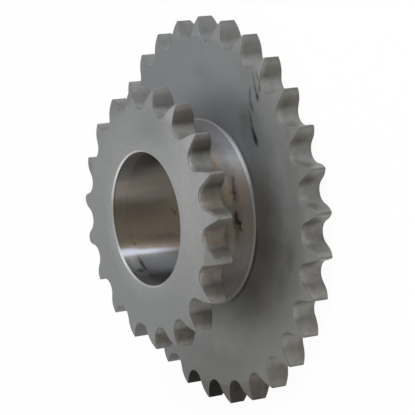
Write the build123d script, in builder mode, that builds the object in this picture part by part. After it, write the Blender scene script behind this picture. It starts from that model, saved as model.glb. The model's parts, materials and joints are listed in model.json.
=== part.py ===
"""Compound chain sprocket: two toothed wheels for one size of roller chain on a plain hub,
machined from one piece of steel, with one large plain bore through all of it.

Millimetres. +Z runs along the bore. The origin is on the bore's axis, in the flat back face
of the large wheel, which the sprocket lies on. A tooth gap of the small wheel is on +X.
"""

import math
import os

from build123d import *

# Roller chain that both wheels carry: ISO 606 size 16B.
PITCH = 25.4
ROLLER_DIAMETER = 15.88
CHAIN_INNER_WIDTH = 17.02  # between the chain's inner plates
CHAIN_SIDE_PLAY = 0.82  # the teeth are this much narrower

# Teeth. The standard sets a tightest and a widest tooth gap: 0 is the one and 1 the other.
GAP_FORM = 0.5
TIP_RADIUS = 0.8  # rounded tip of a tooth
SIDE_RELIEF = 3.3  # how far each side of a tooth has curved in at the tip
SIDE_RADIUS = 25.4  # radius of that curve

# The two wheels.
SMALL_TEETH = 19
LARGE_TEETH = 29
LARGE_TURN = 2.2  # degrees by which the large wheel's teeth are turned from the small one's
WHEEL_GAP = 28.2  # clear width between the wheels, so that two chains pass each other

# Hub and bore.
HUB_DIAMETER = 118.0
HUB_FOOT_CHAMFER = 1.0  # 45 degree foot that the turning tool leaves where the hub meets a wheel
BORE_DIAMETER = 85.0
BORE_CHAMFER = 1.0

# The blank is turned this much larger than the tips, and the tooth cutter takes it away.
BLANK_ALLOWANCE = 1.0
CUTTER_OVERRUN = 5.0

tooth_width = CHAIN_INNER_WIDTH - CHAIN_SIDE_PLAY
small_base = tooth_width + WHEEL_GAP
hub_radius = HUB_DIAMETER / 2
bore_radius = BORE_DIAMETER / 2


def between(tightest, widest):
    """The value at GAP_FORM between the standard's two limits."""
    return tightest + GAP_FORM * (widest - tightest)


# A roller seats in an arc this little larger than itself.
seat_radius = between(
    0.505 * ROLLER_DIAMETER,
    0.505 * ROLLER_DIAMETER + 0.069 * ROLLER_DIAMETER ** (1 / 3),
)


def polar(radius, degrees):
    """The point at this radius and angle."""
    return Vector(radius, 0).rotate(Axis.Z, degrees)


def at(radius):
    """Limits that only points at this radius lie within."""
    return radius - 0.001, radius + 0.001


def tooth_form(teeth):
    """The arcs of one tooth gap and the tip after it, and the radius of the tips.

    The gap is centred on the X axis. Each arc is its centre, radius, start angle and size.
    """
    seat_angle = between(140 - 90 / teeth, 120 - 90 / teeth)
    flank_radius = between(
        0.12 * ROLLER_DIAMETER * (teeth + 2),
        0.008 * ROLLER_DIAMETER * (teeth**2 + 180),
    )
    half_pitch = 180 / teeth

    # The seat's centre is a roller's, on the pitch circle. Each flank is a tooth's convex
    # side, so its centre lies beyond the seat's end, on the line through the roller.
    seat = Vector(PITCH / 2 / math.sin(math.radians(half_pitch)), 0)
    seat_end = 180 - seat_angle / 2
    flank = seat + polar(seat_radius + flank_radius, seat_end)

    # The tip's centre is on the tooth's middle line, where its arc meets both flanks.
    middle = polar(1, half_pitch)
    along = flank.dot(middle)
    across = flank.cross(middle).length
    tip = middle * (along + math.sqrt((flank_radius - TIP_RADIUS) ** 2 - across**2))

    flank_start = seat_end - 180
    flank_end = math.degrees(math.atan2(tip.Y - flank.Y, tip.X - flank.X))
    flank_size = flank_end - flank_start
    arcs = [
        (seat, seat_radius, seat_end, seat_angle),
        (flank, flank_radius, flank_start, flank_size),
        (Vector(flank.X, -flank.Y), flank_radius, -flank_start, -flank_size),
        (tip, TIP_RADIUS, flank_end, 2 * (half_pitch - flank_end)),
    ]
    return arcs, tip.length + TIP_RADIUS


def tooth_outline(teeth, turn):
    """The wheel's whole outline, with its gaps turned by this many degrees."""
    arcs, _ = tooth_form(teeth)
    with BuildLine() as outline:
        for gap in range(teeth):
            angle = turn + gap * 360 / teeth
            for centre, radius, start, size in arcs:
                CenterArc(centre.rotate(Axis.Z, angle), radius, start + angle, size)
    return outline.edges()


def wheel_section(teeth, base):
    """Half section of a wheel's blank, flat outside the bore and drawn in towards its rim."""
    _, tips = tooth_form(teeth)
    flat_radius = tips - math.sqrt(SIDE_RADIUS**2 - (SIDE_RADIUS - SIDE_RELIEF) ** 2)
    rim_radius = tips + BLANK_ALLOWANCE
    rim_drop = SIDE_RADIUS - math.sqrt(SIDE_RADIUS**2 - (rim_radius - flat_radius) ** 2)
    top = base + tooth_width
    with BuildLine() as section:
        Polyline((flat_radius, top), (bore_radius, top), (bore_radius, base), (flat_radius, base))
        TangentArc((flat_radius, base), (rim_radius, base + rim_drop), tangent=(1, 0))
        Line((rim_radius, base + rim_drop), (rim_radius, top - rim_drop))
        TangentArc((flat_radius, top), (rim_radius, top - rim_drop), tangent=(1, 0))
    return section.edges()


wheels = [(LARGE_TEETH, 0, LARGE_TURN), (SMALL_TEETH, small_base, 0)]

with BuildPart() as sprocket:
    # The blank, turned and bored in one piece.
    with BuildSketch(Plane.XZ) as blank:
        for teeth, base, _ in wheels:
            make_face(wheel_section(teeth, base))
        with Locations((bore_radius, tooth_width)):
            Rectangle(hub_radius - bore_radius, WHEEL_GAP, align=(Align.MIN, Align.MIN))
        chamfer(blank.vertices().filter_by_position(Axis.X, *at(bore_radius)), BORE_CHAMFER)
        chamfer(blank.vertices().filter_by_position(Axis.X, *at(hub_radius)), HUB_FOOT_CHAMFER)
    revolve(axis=Axis.Z)

    # The tooth gaps, cut right across each wheel.
    for teeth, base, turn in wheels:
        _, tips = tooth_form(teeth)
        with BuildSketch(Plane.XY.offset(base)):
            Circle(tips + BLANK_ALLOWANCE + CUTTER_OVERRUN)
            make_face(tooth_outline(teeth, turn), mode=Mode.SUBTRACT)
        extrude(amount=tooth_width, mode=Mode.SUBTRACT)

sprocket.part.label = "compound_sprocket"
os.makedirs("parts", exist_ok=True)
export_step(sprocket.part, "parts/compound_sprocket.step")
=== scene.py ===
"""A compound chain sprocket: two toothed wheels on one hub, machined from one piece of steel."""

import json
import math

import bpy
from mathutils import Matrix, Vector


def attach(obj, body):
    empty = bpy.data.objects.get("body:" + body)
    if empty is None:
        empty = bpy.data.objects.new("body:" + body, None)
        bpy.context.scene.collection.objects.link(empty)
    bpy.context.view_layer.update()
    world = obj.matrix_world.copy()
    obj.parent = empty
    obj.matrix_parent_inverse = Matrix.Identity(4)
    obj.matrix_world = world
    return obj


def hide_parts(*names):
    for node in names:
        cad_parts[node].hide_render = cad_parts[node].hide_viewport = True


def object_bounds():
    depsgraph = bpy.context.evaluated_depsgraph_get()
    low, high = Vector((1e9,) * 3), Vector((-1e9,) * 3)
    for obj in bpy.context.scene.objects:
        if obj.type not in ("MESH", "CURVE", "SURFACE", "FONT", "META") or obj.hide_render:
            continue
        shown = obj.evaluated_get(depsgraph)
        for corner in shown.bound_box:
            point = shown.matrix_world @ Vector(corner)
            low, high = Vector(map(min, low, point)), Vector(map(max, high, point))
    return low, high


bl_info = {
    "name": "Compound Chain Sprocket",
    "version": (1, 0, 0),
    "blender": (4, 5, 0),
    "location": "3D View > Sidebar > Sprocket",
    "description": "One-piece chain sprocket with two toothed wheels, in machined steel",
    "category": "Mesh",
}

MM = 0.001

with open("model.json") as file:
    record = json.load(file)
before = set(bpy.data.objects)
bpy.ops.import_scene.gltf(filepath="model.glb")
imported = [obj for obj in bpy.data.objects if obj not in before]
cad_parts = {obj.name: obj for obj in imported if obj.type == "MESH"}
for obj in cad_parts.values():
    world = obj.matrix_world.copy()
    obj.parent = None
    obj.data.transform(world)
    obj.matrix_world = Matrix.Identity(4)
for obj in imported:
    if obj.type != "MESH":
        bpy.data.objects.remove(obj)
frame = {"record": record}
CAD_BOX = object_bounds()
CAD_NODE = "compound_sprocket"
MOUNTS = {mount["name"]: mount for mount in frame["record"]["mounts"]}

# Sizes that the frame carries: its height, its bore, and a seated roller of each wheel.
TOTAL_WIDTH = CAD_BOX[1].z
BORE_RADIUS = MOUNTS["bore"]["dims"]["r_mm"] * MM
BORE_CHAMFER = (TOTAL_WIDTH - MOUNTS["bore"]["dims"]["length_mm"] * MM) / 2
SMALL_ROLLER = Vector(MOUNTS["small_wheel_teeth"]["pos_m"])
LARGE_ROLLER = Vector(MOUNTS["large_wheel_teeth"]["pos_m"])
TOOTH_WIDTH = 2 * LARGE_ROLLER.z
SMALL_BASE = 2 * SMALL_ROLLER.z - TOTAL_WIDTH
LARGE_TURN = math.atan2(LARGE_ROLLER.y, LARGE_ROLLER.x)

SMALL_TEETH = 19
LARGE_TEETH = 29
HUB_RADIUS = 59.0 * MM

# About how many points a wheel's outline has, and how they are shared out over half a tooth.
# The rest are on the seat.
OUTLINE_POINTS = 1100
TIP_SHARE = 0.14
FLANK_SHARE = 0.31

# The finishes, by the number that each face of the mesh carries.
FACED, CUT, TURNED, BORED, BROKEN_EDGE = range(5)

# Radii at which the tooth gaps are laid flat for their stains, and the heights, in millimetres,
# between which the large wheel's finish gives way to the small one's.
SMALL_GAPS_RADIUS = 72 * MM
LARGE_GAPS_RADIUS = 117 * MM
BETWEEN_WHEELS = (20, 40)

# How much plain white the floor shows over its lit paper, which carries the shadow.
FLOOR_GLOW = 0.96


def colour(hex_code):
    """A colour written as sRGB hex, in the linear values that Blender works in."""
    srgb = [int(hex_code[i : i + 2], 16) / 255 for i in (1, 3, 5)]
    linear = [c / 12.92 if c <= 0.04045 else ((c + 0.055) / 1.055) ** 2.4 for c in srgb]
    return (*linear, 1.0)


def add(tree, kind, inputs=None, **settings):
    """Adds a node with its settings, and its inputs set to values or linked to other nodes'
    outputs, and gives its first output."""
    node = tree.nodes.new(kind)
    for name, value in settings.items():
        setattr(node, name, value)
    for name, value in (inputs or {}).items():
        if isinstance(value, bpy.types.NodeSocket):
            tree.links.new(value, node.inputs[name])
        else:
            node.inputs[name].default_value = value
    return node.outputs[0] if node.outputs else None


def empty_tree(owner):
    """The node tree of a new material or world, with nothing in it yet."""
    owner.use_nodes = True
    owner.node_tree.nodes.clear()
    return owner.node_tree


def new_object(name, data):
    """Adds an object to the scene."""
    made = bpy.data.objects.new(name, data)
    bpy.context.scene.collection.objects.link(made)
    return made


# ---------------------------------------------------------------- sizes and colours


def length(name, description, default):
    return bpy.props.FloatProperty(
        name=name,
        description=description,
        default=default,
        min=0.0,
        precision=5,
        subtype="DISTANCE",
        unit="LENGTH",
    )


def finish_colour(name, description, hex_code):
    return bpy.props.FloatVectorProperty(
        name=name,
        description=description,
        default=colour(hex_code),
        size=4,
        min=0.0,
        max=1.0,
        subtype="COLOR",
    )


def power(name, description, default):
    return bpy.props.FloatProperty(
        name=name,
        description=description,
        default=default,
        min=0.0,
        subtype="POWER",
        unit="POWER",
    )


class SprocketSizes(bpy.types.PropertyGroup):
    """Sizes of the sprocket's teeth, wheels and hub"""

    small_teeth: bpy.props.IntProperty(
        name="Small Teeth", description="Teeth on the small wheel", default=SMALL_TEETH, min=6
    )
    large_teeth: bpy.props.IntProperty(
        name="Large Teeth", description="Teeth on the large wheel", default=LARGE_TEETH, min=6
    )
    large_turn: bpy.props.FloatProperty(
        name="Large Wheel Turn",
        description="Turn of the large wheel's teeth from the small wheel's",
        default=LARGE_TURN,
        subtype="ANGLE",
        unit="ROTATION",
    )
    gap_form: bpy.props.FloatProperty(
        name="Gap Form",
        description="Tooth gap between the standard's tightest, 0, and its widest, 1",
        default=0.5,
        min=0.0,
        max=1.0,
        subtype="FACTOR",
    )
    pitch: length(
        "Chain Pitch",
        "Distance between two of the chain's rollers",
        2 * SMALL_ROLLER.x * math.sin(math.pi / SMALL_TEETH),
    )
    roller: length("Roller Diameter", "Diameter of the chain's rollers", 15.88 * MM)
    tip_radius: length("Tip Radius", "Rounding of a tooth's tip", 0.8 * MM)
    side_relief: length("Side Relief", "How far a tooth's side has curved in at its tip", 3.3 * MM)
    side_radius: length("Side Radius", "Radius of a tooth's curved side", 25.4 * MM)
    edge_break: length("Edge Break", "Rounding of the edges of the teeth", 0.35 * MM)
    hub_radius: length("Hub Radius", "Radius of the hub between the wheels", HUB_RADIUS)
    hub_foot: length("Hub Foot", "Leg of the 45 degree corner where hub and wheel meet", 1.0 * MM)


class SprocketColours(bpy.types.PropertyGroup):
    """Colours of the sprocket's steel and of what lies on it"""

    small_face: finish_colour("Small Wheel Face", "Faced steel of the small wheel", "#6d6d6b")
    large_face: finish_colour("Large Wheel Face", "Faced steel of the large wheel", "#656462")
    back_face: finish_colour("Back Face", "Faced steel of the back", "#656461")
    scratches: finish_colour("Scratches", "Black of the large wheel's scratches", "#12120f")
    small_gaps: finish_colour("Small Wheel Gaps", "Cut steel between small teeth", "#6c6a65")
    large_gaps: finish_colour("Large Wheel Gaps", "Cut steel between large teeth", "#787773")
    # Painted dark reflection in the large wheel's lowest gaps.
    dark_gap_reflection: finish_colour("Dark Gap Reflection", "Painted dark reflection in the large wheel's lowest gaps", "#070604")
    hub: finish_colour("Hub", "Turned steel of the hub", "#686764")
    rust: finish_colour("Rust", "The pits in the hub", "#211813")
    bore: finish_colour("Bore", "Bored steel under its dried oil", "#6c6358")
    edges: finish_colour("Edges", "Broken edges of the teeth", "#5c5b57")


class StageSettings(bpy.types.PropertyGroup):
    """Size and colour of the floor, and the powers of the softboxes"""

    floor_width: length("Floor Width", "Length of the floor's sides", 8.0)
    floor_colour: finish_colour("Floor Colour", "Paper that the sprocket lies on", "#f4f4f4")
    softbox_distance: length("Softbox Distance", "From the sprocket to each softbox", 1.6)
    key: power("Key", "Power of the tall softbox that draws the bright lines", 23.5)
    top_left: power("Top Left", "Power of the softbox over the large wheel's top left", 8.5)
    left: power("Left", "Power of the softbox over the left side", 6.5)
    low: power("Low", "Power of the softbox over the near side", 6.0)
    right: power("Right", "Power of the low softbox to the right", 4.9)


# ---------------------------------------------------------------- one tooth of a wheel


def points_round(sizes):
    """Points round each whole wheel. Both have as many, and an even number for each tooth."""
    least = math.lcm(2 * sizes.small_teeth, 2 * sizes.large_teeth)
    return least * max(1, round(OUTLINE_POINTS / least))


def arc_points(centre, radius, start, size, steps):
    """Points along an arc and the outward directions there, leaving out the last."""
    found = []
    for step in range(steps):
        angle = start + size * step / steps
        direction = Vector((math.cos(angle), math.sin(angle)))
        found.append((centre + radius * direction, direction))
    return found


def tooth_outline(sizes, teeth):
    """Points of one pitch of a wheel's outline, from the middle of one tooth's tip to the next,
    each with the direction out of the steel. The gap between them is centred on +X, and its form
    follows the standard for roller chain."""
    half_pitch = math.pi / teeth
    seat_angle = math.radians(140 - 90 / teeth - 20 * sizes.gap_form)
    roller = sizes.roller / MM
    seat_radius = (0.505 * roller + sizes.gap_form * 0.069 * roller ** (1 / 3)) * MM
    tight_flank = 0.12 * sizes.roller * (teeth + 2)
    wide_flank = 0.008 * sizes.roller * (teeth**2 + 180)
    flank_radius = tight_flank + sizes.gap_form * (wide_flank - tight_flank)

    # A seated roller's centre, the centre of one flank's arc, and the tip's on the tooth's middle.
    seat = Vector((sizes.pitch / 2 / math.sin(half_pitch), 0))
    seat_end = math.pi - seat_angle / 2
    flank = seat + (seat_radius + flank_radius) * Vector((math.cos(seat_end), math.sin(seat_end)))
    middle = Vector((math.cos(half_pitch), math.sin(half_pitch)))
    along = flank.dot(middle)
    across = flank.cross(middle)
    reach = math.sqrt((flank_radius - sizes.tip_radius) ** 2 - across**2)
    tip = middle * (along + reach)
    flank_start = seat_end - math.pi
    flank_end = math.atan2(tip.y - flank.y, tip.x - flank.x)

    # Half of the pitch, from the gap's bottom to the tip's middle. The seat is hollow, so its
    # outward direction points at its own centre.
    steps = points_round(sizes) // teeth // 2
    tip_steps = round(steps * TIP_SHARE)
    flank_steps = round(steps * FLANK_SHARE)
    seat_steps = steps - tip_steps - flank_steps
    half = [
        (point, -direction)
        for point, direction in arc_points(seat, seat_radius, math.pi, -seat_angle / 2, seat_steps)
    ]
    half += arc_points(flank, flank_radius, flank_start, flank_end - flank_start, flank_steps)
    half += arc_points(tip, sizes.tip_radius, flank_end, half_pitch - flank_end, tip_steps)
    half.append((tip + sizes.tip_radius * middle, middle))
    mirrored = [(Vector((p.x, -p.y)), Vector((n.x, -n.y))) for p, n in half]
    return mirrored[:0:-1] + half


class Sector:
    """One tooth's share of a wheel's mesh, made as rows of points, each row one pitch long."""

    def __init__(self, sizes, teeth, turn):
        self.count = points_round(sizes) // teeth
        step = 2 * math.pi / points_round(sizes)
        # Both wheels share the rings near the axis, so those have to meet however a wheel turns.
        shift = round(turn / step) * step - turn
        self.ring_angles = [(i - self.count / 2) * step + shift for i in range(self.count + 1)]
        self.points = []
        self.faces = []
        self.finishes = []
        self.sharp_rows = []
        self.rows = 0

    def row(self, points, finish=None, sharp=False):
        """Adds a row, and joins it to the row before with faces of this finish."""
        start = len(self.points)
        self.points += points
        if finish is not None:
            for i in range(self.count):
                self.faces.append(
                    (start + i, start + i + 1, start - self.count + i, start - self.count - 1 + i)
                )
                self.finishes.append(finish)
        if sharp:
            self.sharp_rows.append(self.rows)
        self.rows += 1

    def ring(self, radius, height, finish=None, sharp=False):
        """Adds a row that is part of a circle."""
        points = [
            Vector((radius * math.cos(a), radius * math.sin(a), height)) for a in self.ring_angles
        ]
        self.row(points, finish, sharp)

    def mesh(self, name):
        """The rows as a mesh that carries its faces' finishes and its sharp edges."""
        mesh = bpy.data.meshes.new(name)
        mesh.from_pydata(self.points, [], self.faces, shade_flat=False)
        finish = mesh.attributes.new("finish", "INT", "FACE")
        finish.data.foreach_set("value", self.finishes)
        width = self.count + 1
        sharp = mesh.attributes.new("sharp_edge", "BOOLEAN", "EDGE")
        sharp_rows = set(self.sharp_rows)
        for edge in mesh.edges:
            first, second = edge.vertices
            same_row = first // width == second // width
            sharp.data[edge.index].value = same_row and first // width in sharp_rows
        return mesh


def add_toothed_rim(sector, sizes, teeth, top, base, inner):
    """Adds the rows of a wheel's rim from its inner ring out over its front, across the width of
    the teeth and back in on the other side."""
    outline = tooth_outline(sizes, teeth)
    tips = max(point.length for point, _ in outline)
    drop_at_tip = sizes.side_radius - sizes.side_relief
    flat_radius = tips - math.sqrt(sizes.side_radius**2 - drop_at_tip**2)
    rounding = sizes.edge_break
    middle = (top + base) / 2
    half_width = (top - base) / 2
    inward_steps = 8
    rounding_steps = 3

    def side(radius):
        """Height of the tooth's side over the wheel's middle plane."""
        out = max(0.0, radius - flat_radius)
        return half_width - sizes.side_radius + math.sqrt(sizes.side_radius**2 - out**2)

    rows = []
    for step in range(inward_steps + rounding_steps + 1):
        row = []
        for (point, normal), ring_angle in zip(outline, sector.ring_angles):
            # The side slopes down towards the edge, and its rounding starts at that slope.
            out = max(0.0, point.length - flat_radius)
            fall = out / math.sqrt(sizes.side_radius**2 - out**2)
            slope = math.atan(fall * max(0.0, normal.dot(point.normalized())))
            lean = math.pi / 2 - slope
            if step < rounding_steps:
                # From the tooth's wall up to the side.
                turn = lean * step / rounding_steps
                spot = point + normal * rounding * (math.cos(turn) - 1)
                start = side(point.length) + rounding * (math.tan(slope) - 1 / math.cos(slope))
                height = start + rounding * math.sin(turn)
            else:
                # From the rounding in towards the inner ring, with the points spread evenly there.
                share = (step - rounding_steps) / inward_steps
                spot = point + normal * rounding * (math.cos(lean) - 1)
                angle = math.atan2(spot.y, spot.x)
                radius = spot.length + (inner - spot.length) * share
                angle += (ring_angle - angle) * share
                spot = Vector((radius * math.cos(angle), radius * math.sin(angle)))
                height = side(radius)
            row.append((spot, height))
        rows.append(row)

    for step in reversed(range(len(rows) - 1)):
        finish = BROKEN_EDGE if step < rounding_steps else FACED
        sector.row([Vector((*spot, middle + h)) for spot, h in rows[step]], finish)
    for step in range(len(rows)):
        finish = CUT if step == 0 else BROKEN_EDGE if step <= rounding_steps else FACED
        sector.row([Vector((*spot, middle - h)) for spot, h in rows[step]], finish)


def small_tooth(sizes):
    """One tooth's share of the bore, the small wheel and the hub, from the bore's lower end."""
    sector = Sector(sizes, sizes.small_teeth, 0.0)
    inside_gaps = 4 * MM
    inner = SMALL_ROLLER.x - sizes.roller / 2 - inside_gaps
    sector.ring(BORE_RADIUS, BORE_CHAMFER, sharp=True)
    sector.ring(BORE_RADIUS, TOTAL_WIDTH - BORE_CHAMFER, BORED, sharp=True)
    sector.ring(BORE_RADIUS + BORE_CHAMFER, TOTAL_WIDTH, BROKEN_EDGE, sharp=True)
    sector.ring(inner, TOTAL_WIDTH, FACED)
    add_toothed_rim(sector, sizes, sizes.small_teeth, TOTAL_WIDTH, SMALL_BASE, inner)
    sector.ring(sizes.hub_radius + sizes.hub_foot, SMALL_BASE, FACED, sharp=True)
    sector.ring(sizes.hub_radius, SMALL_BASE - sizes.hub_foot, BROKEN_EDGE, sharp=True)
    sector.ring(sizes.hub_radius, TOOTH_WIDTH + sizes.hub_foot, TURNED, sharp=True)
    sector.ring(sizes.hub_radius + sizes.hub_foot, TOOTH_WIDTH, BROKEN_EDGE, sharp=True)
    return sector.mesh("small_tooth")


def large_tooth(sizes):
    """One tooth's share of the large wheel, from the hub's foot out and back in to the bore."""
    sector = Sector(sizes, sizes.large_teeth, sizes.large_turn)
    inside_gaps = 5 * MM
    inner = LARGE_ROLLER.xy.length - sizes.roller / 2 - inside_gaps
    sector.ring(sizes.hub_radius + sizes.hub_foot, TOOTH_WIDTH, sharp=True)
    sector.ring(inner, TOOTH_WIDTH, FACED)
    add_toothed_rim(sector, sizes, sizes.large_teeth, TOOTH_WIDTH, 0.0, inner)
    sector.ring(BORE_RADIUS + BORE_CHAMFER, 0.0, FACED, sharp=True)
    sector.ring(BORE_RADIUS, BORE_CHAMFER, BROKEN_EDGE, sharp=True)
    return sector.mesh("large_tooth")


# ---------------------------------------------------------------- the sprocket's node trees


def teeth_round_a_wheel():
    """Node group that repeats one tooth's mesh round the Z axis."""
    tree = bpy.data.node_groups.new("Teeth Round a Wheel", "GeometryNodeTree")
    sockets = tree.interface
    sockets.new_socket("Tooth", in_out="INPUT", socket_type="NodeSocketGeometry")
    sockets.new_socket("Teeth", in_out="INPUT", socket_type="NodeSocketInt")
    sockets.new_socket("Turn", in_out="INPUT", socket_type="NodeSocketFloat")
    sockets.new_socket("Wheel", in_out="OUTPUT", socket_type="NodeSocketGeometry")
    given = tree.nodes.new("NodeGroupInput").outputs
    places = add(tree, "GeometryNodePoints", {"Count": given["Teeth"]})
    index = add(tree, "GeometryNodeInputIndex")
    pitch = add(tree, "ShaderNodeMath", {0: math.tau, 1: given["Teeth"]}, operation="DIVIDE")
    angle = add(
        tree, "ShaderNodeMath", {0: index, 1: pitch, 2: given["Turn"]}, operation="MULTIPLY_ADD"
    )
    turned = add(tree, "FunctionNodeAxisAngleToRotation", {"Axis": (0, 0, 1), "Angle": angle})
    wheel = add(
        tree,
        "GeometryNodeInstanceOnPoints",
        {"Points": places, "Instance": given["Tooth"], "Rotation": turned},
    )
    add(tree, "NodeGroupOutput", {"Wheel": wheel})
    return tree


def one_piece_sprocket(finishes):
    """Node tree that joins both wheels into one closed mesh and gives each face its finish."""
    tree = bpy.data.node_groups.new("One Piece Sprocket", "GeometryNodeTree")
    tree.is_modifier = True
    sockets = tree.interface
    sockets.new_socket("Geometry", in_out="INPUT", socket_type="NodeSocketGeometry")
    for wheel in ("Small", "Large"):
        sockets.new_socket(f"{wheel} Tooth", in_out="INPUT", socket_type="NodeSocketObject")
        sockets.new_socket(f"{wheel} Teeth", in_out="INPUT", socket_type="NodeSocketInt")
        sockets.new_socket(f"{wheel} Turn", in_out="INPUT", socket_type="NodeSocketFloat")
    sockets.new_socket("Weld Distance", in_out="INPUT", socket_type="NodeSocketFloat")
    sockets.new_socket("Geometry", in_out="OUTPUT", socket_type="NodeSocketGeometry")
    given = tree.nodes.new("NodeGroupInput").outputs
    repeat = teeth_round_a_wheel()

    joined = add(tree, "GeometryNodeJoinGeometry")
    for wheel in ("Small", "Large"):
        tooth = add(tree, "GeometryNodeObjectInfo", {"Object": given[f"{wheel} Tooth"]})
        inputs = {
            "Tooth": tooth.node.outputs["Geometry"],
            "Teeth": given[f"{wheel} Teeth"],
            "Turn": given[f"{wheel} Turn"],
        }
        teeth = add(tree, "GeometryNodeGroup", inputs, node_tree=repeat)
        tree.links.new(teeth, joined.node.inputs[0])
    real = add(tree, "GeometryNodeRealizeInstances", {"Geometry": joined})
    shown = add(
        tree,
        "GeometryNodeMergeByDistance",
        {"Geometry": real, "Distance": given["Weld Distance"]},
    )
    finish = add(tree, "GeometryNodeInputNamedAttribute", {"Name": "finish"}, data_type="INT")
    for number, material in enumerate(finishes):
        # A comparison's second and third inputs are its whole numbers.
        chosen = add(
            tree, "FunctionNodeCompare", {2: finish, 3: number}, data_type="INT", operation="EQUAL"
        )
        shown = add(
            tree,
            "GeometryNodeSetMaterial",
            {"Geometry": shown, "Selection": chosen, "Material": material},
        )
    add(tree, "NodeGroupOutput", {"Geometry": shown})
    return tree


# ---------------------------------------------------------------- finishes


class Surface:
    """A new material's node tree, and where each point of the sprocket lies, in metres."""

    def __init__(self, name):
        self.material = bpy.data.materials.new(name)
        self.tree = tree = empty_tree(self.material)
        self.place = tree.nodes.new("ShaderNodeTexCoord").outputs["Object"]
        flat = {0: self.place, 1: (1, 1, 0)}
        self.flat = add(tree, "ShaderNodeVectorMath", flat, operation="MULTIPLY")
        from_axis = add(tree, "ShaderNodeVectorMath", {0: self.flat}, operation="LENGTH")
        self.radius = from_axis.node.outputs["Value"]
        self.height = add(tree, "ShaderNodeSeparateXYZ", {0: self.place}).node.outputs["Z"]

    def unrolled(self, radius, middle):
        """A turned wall laid flat: the distance round it from the middle angle, and the height."""
        turned = add(
            self.tree,
            "ShaderNodeMapping",
            {"Vector": self.place, "Rotation": (0, 0, -math.radians(middle))},
        )
        axes = add(self.tree, "ShaderNodeSeparateXYZ", {0: turned}).node.outputs
        angle = add(self.tree, "ShaderNodeMath", {0: axes["Y"], 1: axes["X"]}, operation="ARCTAN2")
        distance = add(self.tree, "ShaderNodeMath", {0: angle, 1: radius}, operation="MULTIPLY")
        return add(self.tree, "ShaderNodeCombineXYZ", {"X": distance, "Y": self.height})

    def outside_pitch_circle(self):
        """How far a point lies outside its own wheel's pitch circle."""
        pitch_circles = {
            "Value": self.height,
            "From Min": BETWEEN_WHEELS[0] * MM,
            "From Max": BETWEEN_WHEELS[1] * MM,
            "To Min": LARGE_ROLLER.xy.length,
            "To Max": SMALL_ROLLER.x,
        }
        circle = add(self.tree, "ShaderNodeMapRange", pitch_circles)
        inputs = {0: self.radius, 1: circle}
        return add(self.tree, "ShaderNodeMath", inputs, operation="SUBTRACT")

    def clouds(self, over, size, low=0.35, high=0.65, stretch=(1, 1, 1)):
        """Soft clouds over a layout, of this size, from 0 to 1."""
        tree = self.tree
        over = add(tree, "ShaderNodeMapping", {"Vector": over, "Scale": stretch})
        noise = add(tree, "ShaderNodeTexNoise", {"Vector": over, "Scale": 1 / size, "Detail": 3.0})
        return add(tree, "ShaderNodeMapRange", {"Value": noise, "From Min": low, "From Max": high})

    def tool_lines(self, across, spacing):
        """A tool's uneven lines, this far apart on average, from 0 to 1. The real ones, 0.2 to
        0.3 mm apart, are too fine to be seen, so these are drawn coarser."""
        tree = self.tree
        inputs = {"W": across, "Scale": 1 / spacing, "Detail": 2.0}
        noise = add(tree, "ShaderNodeTexNoise", inputs, noise_dimensions="1D")
        return add(tree, "ShaderNodeMapRange", {"Value": noise, "From Min": 0.3, "From Max": 0.7})

    def patches(self, layout, ragged, places):
        """Soft elliptical patches on a flat layout, from 0 to 1. Each is its centre and half sizes
        in millimetres, its turn in degrees, how soft its edge is and how strong it is. Ragged is
        how far its edge strays, in millimetres."""
        tree = self.tree
        # The noise keeps near its middle, so it is drawn four times as wide as the edge strays.
        ragged *= 4 * MM
        stray = add(tree, "ShaderNodeTexNoise", {"Vector": layout, "Scale": 2 / ragged})
        stray = stray.node.outputs["Color"]
        moved = {0: stray, 1: (ragged, ragged, 0), 2: (-ragged / 2, -ragged / 2, 0)}
        moved = add(tree, "ShaderNodeVectorMath", moved, operation="MULTIPLY_ADD")
        moved = add(tree, "ShaderNodeVectorMath", {0: moved, 1: layout}, operation="ADD")
        whole = 0.0
        for x, y, half_length, half_width, turn, soft, strength in places:
            fitted = {
                "Vector": moved,
                "Location": (x * MM, y * MM, 0),
                "Rotation": (0, 0, math.radians(turn)),
                "Scale": (half_length * MM, half_width * MM, 1),
            }
            fitted = add(tree, "ShaderNodeMapping", fitted, vector_type="TEXTURE")
            out = add(tree, "ShaderNodeVectorMath", {0: fitted}, operation="LENGTH")
            edge = {
                "Value": out.node.outputs["Value"],
                "From Min": 1 + soft,
                "From Max": 1 - soft,
                "To Max": strength,
            }
            patch = add(tree, "ShaderNodeMapRange", edge, interpolation_type="SMOOTHSTEP")
            whole = add(tree, "ShaderNodeMath", {0: whole, 1: patch}, operation="MAXIMUM")
        return whole

    def zone(self, value, *edges):
        """1 where a value lies past all of the edges, and 0 short of any. An edge is where its
        soft step starts and ends, in millimetres."""
        inside = 1.0
        for start, end in edges:
            step = {
                "Value": value,
                "From Min": start * MM,
                "From Max": end * MM,
                "To Max": inside,
            }
            inside = add(self.tree, "ShaderNodeMapRange", step, interpolation_type="SMOOTHSTEP")
        return inside

    def layered(self, base, *layers):
        """Lays colours over a base. A layer is its masks and its colour, which shows as far as
        all of the masks reach. The colour is a setting, another node's or sRGB hex."""
        for mask, *others, over in layers:
            for other in others:
                both = {0: mask, 1: other}
                mask = add(self.tree, "ShaderNodeMath", both, operation="MULTIPLY")
            if isinstance(over, str):
                over = colour(over)
            # A colour mix's inputs are its factor, 0, and its two colours, 6 and 7.
            inputs = {0: mask, 6: base, 7: over}
            base = add(self.tree, "ShaderNodeMix", inputs, data_type="RGBA").node.outputs[2]
        return base

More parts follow.
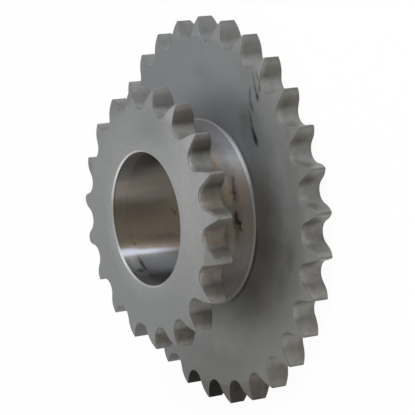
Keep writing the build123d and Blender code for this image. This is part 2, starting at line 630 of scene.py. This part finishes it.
    def finish(self, base, rough, metallic, drawn, relief, depth):
        """Ends the material. Drawn is how far the tool's lines, which run round the axis, draw
        light out across them. Relief is a pattern from 0 to 1, and depth is its height."""
        tree = self.tree
        bump = add(tree, "ShaderNodeBump", {"Height": relief, "Distance": depth})
        inputs = {
            "Base Color": base,
            "Roughness": rough,
            "Metallic": metallic,
            "Anisotropic": drawn,
            "Normal": bump,
        }
        if drawn:
            normal = tree.nodes.new("ShaderNodeNewGeometry").outputs["Normal"]
            along = {0: (0, 0, 1), 1: self.flat}
            along = add(tree, "ShaderNodeVectorMath", along, operation="CROSS_PRODUCT")
            across = {0: normal, 1: along}
            across = add(tree, "ShaderNodeVectorMath", across, operation="CROSS_PRODUCT")
            inputs["Tangent"] = add(
                tree, "ShaderNodeVectorMath", {0: across}, operation="NORMALIZE"
            )
        shader = add(tree, "ShaderNodeBsdfPrincipled", inputs)
        add(tree, "ShaderNodeOutputMaterial", {"Surface": shader})
        return self.material


def small_wheel_face(surface, colours, clouds, tinted, specks, teeth):
    """Colour of the small wheel's face: painted highlights on the right, upper right and upper
    left, painted shade at the top and lower left, lighter round the bore, and marked darker and
    lighter on its teeth."""
    flat = surface.flat
    # Painted highlights on the face's right, upper right and upper left, and painted shade at its
    # top and lower left.
    wear_and_painted_light = [(50, 18, 30, 42, 10, 0.9, 1.0)]
    wiped_and_sheen = [(-35, 37, 34, 14, 45, 0.9, 1.0), (26, 42, 14, 8, -30, 0.9, 0.9)]
    painted_darker_sectors = [(-38, -48, 30, 20, -40, 0.9, 0.5), (12, 60, 16, 8, 0, 0.9, 0.6)]
    pale_bands = surface.zone(surface.radius, (56, BORE_RADIUS / MM))
    darker_patches = [
        (-75, 22, 18, 8, 105, 0.6, 0.6),
        (-30, 72, 24, 8, 22, 0.6, 0.6),
        (77, -14, 10, 8, 0, 0.6, 0.6),
    ]
    bright = [(32, 72, 11, 7, -25, 0.6, 0.7), (8, -78, 40, 10, 0, 0.6, 0.5)]
    return surface.layered(
        colours.small_face,
        (clouds, 0.6, "#71726f"),
        (surface.patches(flat, 3, wear_and_painted_light), "#807e7a"),
        (surface.patches(flat, 3, wiped_and_sheen), "#777774"),
        (surface.patches(flat, 3, painted_darker_sectors), "#666761"),
        (pale_bands, 0.8, "#7a7976"),
        (teeth, surface.patches(flat, 3, darker_patches), "#5d5b50"),
        (teeth, surface.patches(flat, 3, bright), "#7e7d7a"),
        (specks, 0.1, "#2e2e2c"),
        (tinted, 0.06, "#7a765e"),
    )


def large_wheel_face(surface, colours, clouds, tinted, specks, teeth):
    """Colour of the large wheel's face: lighter in places, where painted light lifts the hub's
    shade, with painted shade, brownish, by the hub, painted cool light at the top, painted light
    and shade on its teeth, oil stains, black scratches, and a painted highlight ring, a painted
    shade ring and a painted shadow round the hub's foot."""
    flat = surface.flat
    # Painted light that lifts the hub's shade below the hub and to its upper right, and a lighter
    # patch further out to the right.
    wear_and_painted_light = [
        (25, -69, 32, 14, 8, 0.9, 1.0),
        (88, 42, 34, 16, 115, 0.9, 0.6),
        (44, 44, 9, 8, 0, 0.9, 0.6),
        (0, -68, 16, 8, 0, 0.9, 0.7),
    ]
    # Painted cool light on the upper part of the face.
    cool = [(-5, 78, 44, 20, 0, 0.9, 0.6), (38, 58, 24, 11, -30, 0.9, 0.6)]
    # Painted shade, brownish, on the face to the right of the hub.
    painted_shade_by_hub = [
        (70, 12, 12, 16, 15, 0.9, 0.6),
        (72, -14, 13, 22, 0, 0.9, 0.85),
        (64, -40, 12, 16, -35, 0.9, 0.5),
    ]
    stains_and_shade = [
        (98, -14, 8, 4, 80, 0.9, 0.35),
        (90, -29, 8, 5, 60, 0.9, 0.4),
        (-3, 90, 10, 5, 10, 0.9, 0.2),
        (10, -95, 24, 9, 5, 0.9, 0.15),
        (44, -57, 9, 5, 30, 0.9, 0.3),
        (48, 65, 6, 8, 0, 0.9, 0.35),
        (80.5, -5, 5, 2.8, 80, 0.9, 0.35),
        (86, 7.5, 6, 3, 70, 0.9, 0.25),
        (47, 97, 12, 6, 154, 0.9, 0.2),
        (0, -108, 28, 6, 0, 0.9, 0.2),
    ]
    scratched = [
        (58, 92, 4.5, 0.9, -70, 0.8, 0.5),
        (59.6, 86, 3.5, 1.3, -60, 0.8, 0.65),
        (61.8, 81.5, 2.6, 1.5, -65, 0.7, 1.0),
        (62.6, 93, 4, 0.9, -60, 0.8, 0.6),
        (64.2, 87.5, 3.6, 1.1, -100, 0.8, 0.7),
        (53.7, 81.5, 4.5, 1.2, -90, 0.8, 0.6),
        (55, 75.5, 4, 1.3, -62, 0.8, 0.7),
        (54.6, 66.5, 4.5, 1.2, -70, 0.8, 0.6),
        (57.3, 59, 4.5, 1.8, -65, 0.7, 0.85),
        (59.6, 55.2, 4.5, 1.9, -62, 0.6, 1.0),
    ]
    by_teeth = surface.zone(surface.radius, (96, 108))
    lower = surface.patches(flat, 3, [(80, -10, 130, 92, 60, 0.5, 1.0)])
    # A painted highlight ring round the hub's foot and a painted shade ring just outside it, both
    # on its upper right.
    painted_highlight_ring = surface.zone(surface.radius, (61.6, 61))
    painted_shade_ring = surface.zone(surface.radius, (61.6, 62.4), (64.4, 63.2))
    upper = surface.patches(flat, 3, [(47, 41, 20, 10, -45, 0.6, 1.0)])
    # Painted shadow round the hub's foot on its lower right.
    painted_foot_shadow = surface.zone(surface.radius, (60, 60.8), (63, 62))
    below = surface.patches(flat, 3, [(55, -30, 38, 14, 61, 0.5, 0.5)])
    # Painted shade on the teeth to the upper right and at the bottom, and painted light on the top
    # teeth.
    darker_patches = [(100, 62, 38, 14, 122, 0.6, 0.6)]
    bright = [(-10, 118, 44, 12, 0, 0.6, 0.6)]
    deep_grey = [(22, -117, 40, 14, 8, 0.6, 0.8)]
    return surface.layered(
        colours.large_face,
        (clouds, 0.6, "#6c6c69"),
        (surface.patches(flat, 3, wear_and_painted_light), "#7e7e7a"),
        (surface.patches(flat, 3, cool), "#6f7274"),
        (surface.patches(flat, 3, painted_shade_by_hub), "#524d46"),
        (by_teeth, lower, 0.7, "#66655f"),
        (painted_highlight_ring, upper, 0.9, "#cccbc8"),
        (painted_shade_ring, upper, 0.5, "#454440"),
        (painted_foot_shadow, below, "#1d1c1a"),
        (teeth, surface.patches(flat, 3, darker_patches), "#575550"),
        (teeth, surface.patches(flat, 3, bright), "#737371"),
        (teeth, surface.patches(flat, 3, deep_grey), "#4c4a44"),
        (specks, 0.05, "#2e2e2c"),
        (tinted, 0.06, "#77735c"),
        (surface.patches(flat, 3, stains_and_shade), "#403e35"),
        (surface.patches(flat, 0.6, scratched), colours.scratches),
    )


def faced_steel(colours):
    """Mild steel faced on a lathe: a satin grey, lighter on the small wheel, with rings too fine
    to count. The large wheel carries black scratches and old oil stains."""
    surface = Surface("faced_steel")
    clouds = surface.clouds(surface.place, 18 * MM)
    tinted = surface.clouds(surface.place, 7 * MM)
    specks = surface.clouds(surface.place, 3 * MM)
    teeth = surface.zone(surface.outside_pitch_circle(), (-7, -4))
    small = small_wheel_face(surface, colours, clouds, tinted, specks, teeth)
    large = large_wheel_face(surface, colours, clouds, tinted, specks, teeth)
    back = surface.zone(surface.height, (12, 8))
    front = surface.zone(surface.height, BETWEEN_WHEELS)
    base = surface.layered(large, (back, colours.back_face), (front, small))
    rings = surface.tool_lines(surface.radius, 1.2 * MM)
    rough = {"Value": clouds, "To Min": 0.52, "To Max": 0.58}
    rough = add(surface.tree, "ShaderNodeMapRange", rough)
    return surface.finish(base, rough, metallic=0.6, drawn=0.3, relief=rings, depth=0.002 * MM)


def hobbed_steel(colours):
    """Mild steel cut by a hob, whose feed leaves faint lines round each gap. The chain's rollers
    have scoured the bottoms of the gaps paler, and old brown oil is left on the teeth beside them.
    The large wheel's lowest gaps carry a painted dark reflection with painted shade beside it, and
    its crests a painted shade line. Painted highlights and painted reflections lie on the teeth's
    walls and front edges."""
    surface = Surface("hobbed_steel")
    patchy = surface.clouds(surface.place, 6 * MM, 0.46, 0.7)
    lines = surface.tool_lines(surface.height, 1.25 * MM)
    small = surface.zone(surface.height, BETWEEN_WHEELS)
    large = surface.zone(surface.height, BETWEEN_WHEELS[::-1])
    front = surface.zone(surface.height, (48, TOTAL_WIDTH / MM))
    out = surface.outside_pitch_circle()
    wear_and_painted_light = surface.zone(out, (-4.5, -6.8))
    beside = surface.zone(out, (-5, -3), (4.5, 1.5))
    tips = surface.zone(out, (3, 5.5))
    # On the large wheel the crests carry a painted shade line.
    crests = surface.zone(out, (5.9, 6.7))

    # The small wheel's gaps: on the right, at the top and at the bottom.
    right = surface.unrolled(SMALL_GAPS_RADIUS, 0)
    brown = surface.patches(right, 3, [(0, 52, 34, 14, 0, 0.5, 1.0)])
    # Painted reflections on some of the small teeth's walls.
    painted_sheen = [
        (9.5, 52, 3, 16, 0, 0.8, 0.5),
        (34, 52, 2, 16, 0, 0.8, 0.3),
        (-42, 52, 4, 16, 0, 0.8, 0.3),
        (-67, 52, 4, 16, 0, 0.8, 0.25),
        (-90, 52, 4, 16, 0, 0.8, 0.4),
    ]
    painted_sheen = surface.patches(right, 2, painted_sheen)
    # Painted highlights along the small teeth's front edges and on some of their walls.
    painted_highlights_small = [
        (24, 60.5, 54, 2.2, 0, 0.8, 0.9),
        (19, 58.5, 4, 3.5, 0, 0.8, 0.3),
        (6.5, 58.5, 3.5, 4, 0, 0.8, 0.4),
        (-17.5, 54, 4, 8, 0, 0.8, 0.3),
    ]
    painted_highlights_small = surface.patches(right, 2, painted_highlights_small)
    top = surface.unrolled(SMALL_GAPS_RADIUS, 115)
    cool_grey = surface.patches(top, 3, [(0, 30, 46, 80, 0, 0.5, 0.6)])
    bottom = surface.unrolled(SMALL_GAPS_RADIUS, -90)
    soot = surface.clouds(surface.place, 2.5 * MM, 0.45, 0.65)
    mottled = surface.patches(bottom, 3, [(0, 52, 40, 12, 0, 0.4, 0.45)])
    cool = surface.patches(bottom, 3, [(-24, 52, 28, 14, 0, 0.4, 0.9)])

    # The large wheel's gaps: on the right and at the bottom.
    right = surface.unrolled(LARGE_GAPS_RADIUS, 0)
    # Painted highlights along the large teeth's front edges.
    pale_bands = [
        (70, 13.8, 45, 1.6, 0, 0.8, 0.2),
        (-51, 14.2, 5, 2, 0, 0.8, 0.2),
        (-27.5, 14.2, 5, 2, 0, 0.8, 0.25),
        (-3, 14.2, 5, 2, 0, 0.8, 0.3),
        (22, 14.2, 5, 2, 0, 0.8, 0.4),
        (48, 14.4, 5, 2, 0, 0.8, 0.3),
        (73.5, 14.4, 5, 2, 0, 0.8, 0.3),
        (64.3, 15.6, 4, 2.4, 0, 0.7, 0.45),
        (89.6, 15.6, 4, 2.4, 0, 0.7, 0.4),
        (115.2, 15.6, 4, 2.4, 0, 0.7, 0.6),
        (140.5, 15.6, 4, 2, 0, 0.7, 0.25),
    ]
    pale_bands = surface.patches(right, 0.5, pale_bands)
    bottom = surface.unrolled(LARGE_GAPS_RADIUS, -90)
    wiped_and_sheen = surface.patches(bottom, 3, [(112, 8, 52, 20, 0, 0.4, 0.4)])
    # Painted shade, brownish, on the gaps beside the lowest ones.
    painted_shade_brown = surface.patches(bottom, 3, [(46, 8, 30, 18, 0, 0.6, 0.6)])
    # Painted dark reflection in the large wheel's lowest gaps, which are also rougher.
    black = [
        (-8.5, 9, 38.5, 24, 0, 0.35, 1.0),
        (37, 9, 13, 24, 0, 0.5, 0.8),
        (10, 0, 42, 1.8, 0, 0.6, 1.0),
    ]
    black = surface.patches(bottom, 2, black)

    base = surface.layered(
        colours.large_gaps,
        (small, colours.small_gaps),
        (front, "#7b7975"),
        (wear_and_painted_light, 0.7, "#82827e"),
        (wear_and_painted_light, small, 0.9, "#797975"),
        (wear_and_painted_light, brown, small, "#7a7165"),
        (beside, 0.55, "#625d54"),
        (beside, small, 0.4, "#4f4a42"),
        (tips, small, 0.5, "#86837e"),
        (tips, large, 0.3, "#8f8c86"),
        (painted_sheen, small, "#989389"),
        (painted_highlights_small, small, "#a9a69f"),
        (cool_grey, "#7b7d7d"),
        (cool_grey, large, 0.8, "#696b6b"),
        (wiped_and_sheen, large, "#8b8882"),
        (pale_bands, large, "#a5a29b"),
        (lines, 0.12, "#8b867f"),
        (patchy, 0.35, "#50493e"),
        (soot, mottled, small, "#2a2a26"),
        (cool, small, "#606060"),
        (crests, large, 0.3, "#3e3c37"),
        (painted_shade_brown, large, "#483e33"),
        (black, large, colours.dark_gap_reflection),
    )
    rough = {0: black, 1: 0.35, 2: 0.45}
    rough = add(surface.tree, "ShaderNodeMath", rough, operation="MULTIPLY_ADD")
    return surface.finish(base, rough, metallic=0.6, drawn=0.0, relief=lines, depth=0.006 * MM)


def turned_steel(colours):
    """Turned mild steel that was never cleaned: fine lines run round it, with a row of rust pits
    between them, and brown and olive stains spread from those."""
    surface = Surface("turned_steel")
    wall = surface.unrolled(HUB_RADIUS, 0)
    lines = surface.tool_lines(surface.height, 1.0 * MM)
    streaks = surface.clouds(wall, 4 * MM, stretch=(0.12, 1, 1))
    smudged = surface.clouds(wall, 2.2 * MM, 0.5, 0.7, stretch=(0.35, 1, 1))
    # Painted cool light on the hub's upper side, next to its highlight.
    cool = [(62, 21, 16, 9, 0, 0.9, 1.0)]
    brown = [(12, 20, 22, 9, 0, 0.35, 0.9)]
    tan = [
        (22, 34, 9, 5.5, 0, 0.8, 1.0),
        (2, 34, 12, 3, 8, 0.9, 0.8),
        (44, 39, 7, 5, 0, 0.9, 0.9),
    ]
    red = [(-4, 29.5, 6, 2.5, 5, 0.9, 0.4), (30, 21, 2.5, 6, 0, 0.9, 0.2)]
    # Painted shade on the hub's lower side, and a darker strip between its two turned bands.
    dim = [(-58, 24, 18, 12, 0, 0.8, 0.35), (44, 27.5, 12, 2.5, 0, 0.9, 0.4)]
    soaked = [(25, 28.5, 9, 2.2, 8, 0.9, 0.6), (4, 28.8, 7, 2.4, 0, 0.9, 0.75)]
    pits = [
        (31.2, 26.9, 2.6, 0.8, -15, 0.9, 0.6),
        (26.5, 28.2, 2.2, 0.8, -25, 0.9, 0.6),
        (23, 28.7, 2.4, 0.9, 0, 0.8, 0.8),
        (19.2, 29.2, 1.8, 0.8, -20, 0.9, 0.7),
        (8.6, 29.7, 2.2, 0.9, 0, 0.7, 1.0),
        (5.2, 29.4, 1.8, 1.3, 0, 0.7, 1.0),
        (3.4, 27.8, 1.5, 1.2, 30, 0.7, 1.0),
        (0.6, 26.8, 2.2, 0.7, 15, 0.8, 0.95),
    ]
    base = surface.layered(
        colours.hub,
        (streaks, "#716f6c"),
        (smudged, 0.5, "#5a5955"),
        (lines, 0.3, "#5b5a57"),
        (surface.patches(wall, 2, cool), "#7a797b"),
        (surface.patches(wall, 2, dim), "#5d5c55"),
        (surface.patches(wall, 1, brown), "#83776c"),
        (surface.patches(wall, 1.5, tan), "#908370"),
        (surface.patches(wall, 1.5, red), "#786660"),
        (surface.patches(wall, 1.5, soaked), "#50433a"),
        (surface.patches(wall, 0.8, pits), colours.rust),
    )
    rough = {"Value": streaks, "To Min": 0.56, "To Max": 0.64}
    rough = add(surface.tree, "ShaderNodeMapRange", rough)
    return surface.finish(base, rough, metallic=0.7, drawn=0.9, relief=lines, depth=0.006 * MM)


def bored_steel(colours):
    """Bored mild steel, smooth, with brown and olive oil dried on it in stripes. A lamp shows as
    one bright line in a painted highlight stripe, with painted sheen on one side of it and painted
    shade on the other. Its front end is lighter, with the oil taken off down to a faint line."""
    surface = Surface("bored_steel")
    wall = surface.unrolled(BORE_RADIUS, 180)
    stripes = surface.clouds(wall, 3 * MM, stretch=(1, 0.1, 1))
    wiped_and_sheen = surface.zone(surface.height, (48, 49.5))
    dusty = [
        (-46, 56, 34, 12, 0, 0.5, 0.45),
        (40, 56, 12, 12, 0, 0.5, 0.3),
        (68, 57, 12, 7, 0, 0.7, 0.3),
    ]
    grey = [(-46, 30, 26, 60, 0, 0.4, 1.0), (44, 30, 10, 60, 0, 0.5, 1.0)]
    pale = [(-16.6, 30, 3.2, 30, 0, 0.9, 0.3), (-7.5, 34, 5.5, 24, 0, 0.6, 0.8)]
    tan = [(14, 24, 8, 34, 0, 0.9, 0.7), (-6, 14, 14, 7, 0, 0.9, 0.8)]
    olive = [(24, 42, 2.4, 16, 3, 0.9, 0.8)]
    # The second patch is painted shade along the highlight stripe's upper side.
    dark = [(3, 44, 8, 18, 0, 0.8, 0.5), (26, 22, 4, 22, 2, 0.9, 0.8)]
    deep_grey = [(64, 30, 14, 60, 0, 0.5, 0.9), (-62, 44, 12, 12, 0, 0.8, 0.5)]
    # Painted sheen spreading from the highlight stripe on its lower side.
    painted_sheen = [(42, 34, 8.5, 15, 0, 0.5, 1.0)]
    # A painted highlight stripe, bluish grey, along the line where a lamp shows.
    cool_grey = [(30.4, 55, 2.7, 9, 2, 0.4, 1.0), (31.8, 39, 1.7, 20, 2.5, 0.6, 1.0)]
    patch = [(39.5, 54.2, 4.4, 3.2, 0, 0.3, 0.8)]
    marks = [
        (36, 49.3, 1.5, 0.5, 0, 0.8, 0.7),
        (42, 49.0, 5.5, 1.1, 0, 0.8, 0.9),
        (46.8, 53, 1.6, 2.8, 0, 0.8, 0.8),
        (49, 58.4, 1.6, 0.8, 0, 0.8, 0.7),
        (-22, 59.1, 36, 0.6, 0, 0.6, 0.5),
        (53, 48.3, 2.6, 1.0, 0, 0.8, 0.6),
        (5.4, 16.2, 1.4, 0.7, -38, 0.9, 0.5),
        (8, 14, 1.8, 0.8, -38, 0.9, 0.6),
        (25, 48.2, 1.4, 0.8, 30, 0.7, 0.5),
        (-43, 48.9, 20, 0.6, 0, 0.6, 0.35),
        (10, 49.4, 22, 0.5, 0, 0.9, 0.15),
    ]
    base = surface.layered(
        colours.bore,
        (stripes, 0.5, "#766d63"),
        (surface.patches(wall, 2, tan), "#7a7060"),
        (surface.patches(wall, 1, olive), "#7b7058"),
        (surface.patches(wall, 2, dark), "#5c5148"),
        (surface.patches(wall, 0.5, pale), "#858078"),
        (surface.patches(wall, 2, grey), "#686562"),
        (surface.patches(wall, 3, deep_grey), "#494946"),
        (surface.patches(wall, 2, painted_sheen), "#777878"),
        (surface.patches(wall, 0.4, cool_grey), "#8c8c92"),
        (wiped_and_sheen, surface.patches(wall, 2, dusty), "#868786"),
        (surface.patches(wall, 0.8, patch), "#83887d"),
        (surface.patches(wall, 0.6, marks), "#23211e"),
    )
    lines = surface.tool_lines(surface.height, 1.0 * MM)
    return surface.finish(base, rough=0.4, metallic=0.8, drawn=1.0, relief=lines, depth=0.002 * MM)


def broken_edge_steel(colours):
    """Steel edges broken with a file and dark with oil, with painted light on the seats' edges at
    the upper left; the corner where the hub meets the large wheel, with painted shade at its lower
    right; and the bore's corner, cut, and painted light grey as a highlight, lighter at the top
    and with painted shade where the highlight is fainter."""
    surface = Surface("broken_edge_steel")
    clouds = surface.clouds(surface.place, 12 * MM)
    teeth = surface.zone(surface.radius, (62, 66))
    seats = surface.zone(surface.outside_pitch_circle(), (0, -3))
    bore = surface.zone(surface.radius, (46, 44))
    # Painted light on the seats' edges at the upper left.
    painted_light_on_seats = surface.patches(surface.flat, 3, [(-60, 75, 110, 60, 45, 0.3, 1.0)])
    # Painted shade on the hub's foot corner at its lower right.
    foot = surface.unrolled(HUB_RADIUS + 0.5 * MM, 0)
    darker_patches = surface.patches(foot, 1, [(-42, 17, 26, 8, 0, 0.5, 1.0)])
    # The bore's corner is painted light grey as a highlight, lighter at the top, with painted
    # shade where the highlight is fainter.
    corner = surface.unrolled(BORE_RADIUS, 180)
    painted_brighter_top = surface.patches(corner, 1, [(-46, 60, 24, 8, 0, 0.5, 1.0)])
    stains_and_shade = [
        (5, 60, 10, 4, 0, 0.5, 0.6),
        (19, 60, 9, 8, 0, 0.6, 0.65),
        (56, 60, 18, 8, 0, 0.6, 0.45),
    ]
    painted_shade_on_corner = surface.patches(corner, 1, stains_and_shade)
    bright = surface.layered(colour("#9f9e9c"), (painted_brighter_top, "#bab9b6"), (painted_shade_on_corner, "#6a6865"))
    base = surface.layered(
        colour("#656462"),
        (clouds, "#6d6c6a"),
        (darker_patches, "#51504e"),
        (teeth, colours.edges),
        (teeth, seats, "#61605d"),
        (teeth, seats, painted_light_on_seats, "#6a6966"),
        (bore, bright),
    )
    rough = add(surface.tree, "ShaderNodeMath", {0: teeth, 1: bore}, operation="MAXIMUM")
    rough = {0: rough, 1: 0.15, 2: 0.45}
    rough = add(surface.tree, "ShaderNodeMath", rough, operation="MULTIPLY_ADD")
    return surface.finish(base, rough, metallic=0.8, drawn=0.0, relief=clouds, depth=0.01 * MM)


# ---------------------------------------------------------------- operators


class SPROCKET_OT_build(bpy.types.Operator):
    """Build the sprocket in place of its plain solid, with its machined finishes"""

    bl_idname = "sprocket.build"
    bl_label = "Build Sprocket"

    def execute(self, context):
        sizes = context.scene.sprocket_sizes
        colours = context.scene.sprocket_colours
        # In the order of the numbers that the faces carry.
        finishes = [
            faced_steel(colours),
            hobbed_steel(colours),
            turned_steel(colours),
            bored_steel(colours),
            broken_edge_steel(colours),
        ]
        teeth = [new_object(mesh.name, mesh) for mesh in (small_tooth(sizes), large_tooth(sizes))]
        host = new_object("sprocket_host", bpy.data.meshes.new("sprocket_host"))
        tree = one_piece_sprocket(finishes)
        modifier = host.modifiers.new("One Piece Sprocket", "NODES")
        modifier.node_group = tree
        values = {
            "Small Tooth": teeth[0],
            "Small Teeth": sizes.small_teeth,
            "Small Turn": 0.0,
            "Large Tooth": teeth[1],
            "Large Teeth": sizes.large_teeth,
            "Large Turn": sizes.large_turn,
            "Weld Distance": 0.002 * MM,
        }
        for item in tree.interface.items_tree:
            if item.in_out == "INPUT" and item.name in values:
                modifier[item.identifier] = values[item.name]

        context.view_layer.update()
        evaluated = host.evaluated_get(context.evaluated_depsgraph_get())
        mesh = bpy.data.meshes.new_from_object(evaluated)
        mesh.name = "machined_sprocket"
        if len(mesh.polygons) == 0:
            raise RuntimeError("the sprocket's node tree made no mesh")
        mesh.attributes.remove(mesh.attributes["finish"])
        if mesh.materials[0] is None:
            mesh.materials.pop(index=0)
        for scratch in (host, *teeth):
            bpy.data.objects.remove(scratch)

        piece = new_object("machined_sprocket", mesh)
        shading = piece.modifiers.new("Flat Sides", "WEIGHTED_NORMAL")
        shading.keep_sharp = True
        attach(piece, "root")
        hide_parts(CAD_NODE)
        return {"FINISHED"}


def look_along(eye, aim, up):
    """Place and turn of a camera or light at eye that faces aim, with up as its upright."""
    back = (eye - aim).normalized()
    right = up.cross(back).normalized()
    turned = Matrix((right, back.cross(right), back)).transposed()
    return Matrix.Translation(eye) @ turned.to_4x4()


def seen_directly(tree):
    """1 where the camera, a reflection or a view through glass looks, 0 for scattered light."""
    path = tree.nodes.new("ShaderNodeLightPath").outputs
    seen = path["Is Camera Ray"]
    for other in ("Is Glossy Ray", "Is Transmission Ray"):
        seen = add(tree, "ShaderNodeMath", {0: seen, 1: path[other]}, operation="MAXIMUM")
    return seen


# Each softbox's direction from the sprocket, in degrees round it and above the floor, its width
# and height in metres and its colour.
SOFTBOXES = {
    "key": (69, 30, 0.4, 0.8, "#f3f7ff"),
    "top_left": (108, 47, 0.9, 0.7, "#e0ebff"),
    "left": (180, 55, 0.8, 0.8, "#ebf2ff"),
    "low": (280, 50, 0.7, 0.7, "#ffffff"),
    "right": (318, 15, 0.7, 0.7, "#fffaf4"),
}


class SPROCKET_OT_stage(bpy.types.Operator):
    """Build the floor, the studio lights and the camera"""

    bl_idname = "sprocket.stage"
    bl_label = "Build Stage"

    def execute(self, context):
        scene = context.scene
        settings = scene.stage_settings
        floor_mesh = bpy.data.meshes.new("floor")
        reach = settings.floor_width / 2
        floor_mesh.from_pydata(
            [(-reach, -reach, 0), (reach, -reach, 0), (reach, reach, 0), (-reach, reach, 0)],
            [],
            [(0, 1, 2, 3)],
        )
        floor = new_object("floor", floor_mesh)
        material = bpy.data.materials.new("white_paper")
        tree = empty_tree(material)
        glow = {0: seen_directly(tree), 1: FLOOR_GLOW}
        glow = add(tree, "ShaderNodeMath", glow, operation="MULTIPLY")
        paper = add(tree, "ShaderNodeBsdfDiffuse", {"Color": settings.floor_colour})
        light = add(tree, "ShaderNodeEmission", {"Strength": 1.0})
        both = add(tree, "ShaderNodeMixShader", {0: glow, 1: paper, 2: light})
        add(tree, "ShaderNodeOutputMaterial", {"Surface": both})
        floor_mesh.materials.append(material)

        scene.world = bpy.data.worlds.new("studio")
        tree = empty_tree(scene.world)
        white = {"Color": (1, 1, 1, 1), "Strength": seen_directly(tree)}
        sky = add(tree, "ShaderNodeBackground", white)
        add(tree, "ShaderNodeOutputWorld", {"Surface": sky})

        for name, (round_it, above, width, height, tint) in SOFTBOXES.items():
            lamp = bpy.data.lights.new(name, "AREA")
            lamp.shape = "RECTANGLE"
            lamp.size = width
            lamp.size_y = height
            lamp.energy = getattr(settings, name)
            lamp.color = colour(tint)[:3]
            softbox = new_object(name, lamp)
            direction = Vector((math.cos(math.radians(above)), 0, math.sin(math.radians(above))))
            direction.rotate(Matrix.Rotation(math.radians(round_it), 3, "Z"))
            softbox.matrix_world = look_along(
                direction * settings.softbox_distance,
                Vector((0, 0, TOTAL_WIDTH / 2)),
                Vector((0, 0, 1)),
            )
            softbox.visible_camera = False

        lens = bpy.data.cameras.new("camera")
        lens.sensor_width = 36.0
        lens.lens = 190.637
        lens.clip_end = 20.0
        camera = new_object("camera", lens)
        eye = Vector((1.1754331, 0.2745998, 0.7378969))
        aim = eye + Vector((-0.8354724, -0.193519, -0.5143309))
        camera.matrix_world = look_along(eye, aim, Vector((-0.1609826, 0.9810707, -0.1076336)))
        scene.camera = camera
        scene.view_settings.view_transform = "Standard"
        return {"FINISHED"}


class SPROCKET_PT_panel(bpy.types.Panel):
    """The operators that build the sprocket and its stage, with their sizes and colours"""

    bl_idname = "SPROCKET_PT_panel"
    bl_label = "Compound Sprocket"
    bl_space_type = "VIEW_3D"
    bl_region_type = "UI"
    bl_category = "Sprocket"

    def draw(self, context):
        scene = context.scene
        for operator, groups in (
            (SPROCKET_OT_build, (scene.sprocket_sizes, scene.sprocket_colours)),
            (SPROCKET_OT_stage, (scene.stage_settings,)),
        ):
            self.layout.operator(operator.bl_idname)
            for group in groups:
                box = self.layout.box()
                for name in type(group).__annotations__:
                    box.prop(group, name)


CLASSES = (
    SprocketSizes,
    SprocketColours,
    StageSettings,
    SPROCKET_OT_build,
    SPROCKET_OT_stage,
    SPROCKET_PT_panel,
)


def register():
    for registered in CLASSES:
        bpy.utils.register_class(registered)
    bpy.types.Scene.sprocket_sizes = bpy.props.PointerProperty(type=SprocketSizes)
    bpy.types.Scene.sprocket_colours = bpy.props.PointerProperty(type=SprocketColours)
    bpy.types.Scene.stage_settings = bpy.props.PointerProperty(type=StageSettings)


def unregister():
    del bpy.types.Scene.stage_settings
    del bpy.types.Scene.sprocket_colours
    del bpy.types.Scene.sprocket_sizes
    for registered in reversed(CLASSES):
        bpy.utils.unregister_class(registered)


def main():
    register()
    bpy.ops.sprocket.build()
    bpy.ops.sprocket.stage()


if __name__ == "__main__":
    main()
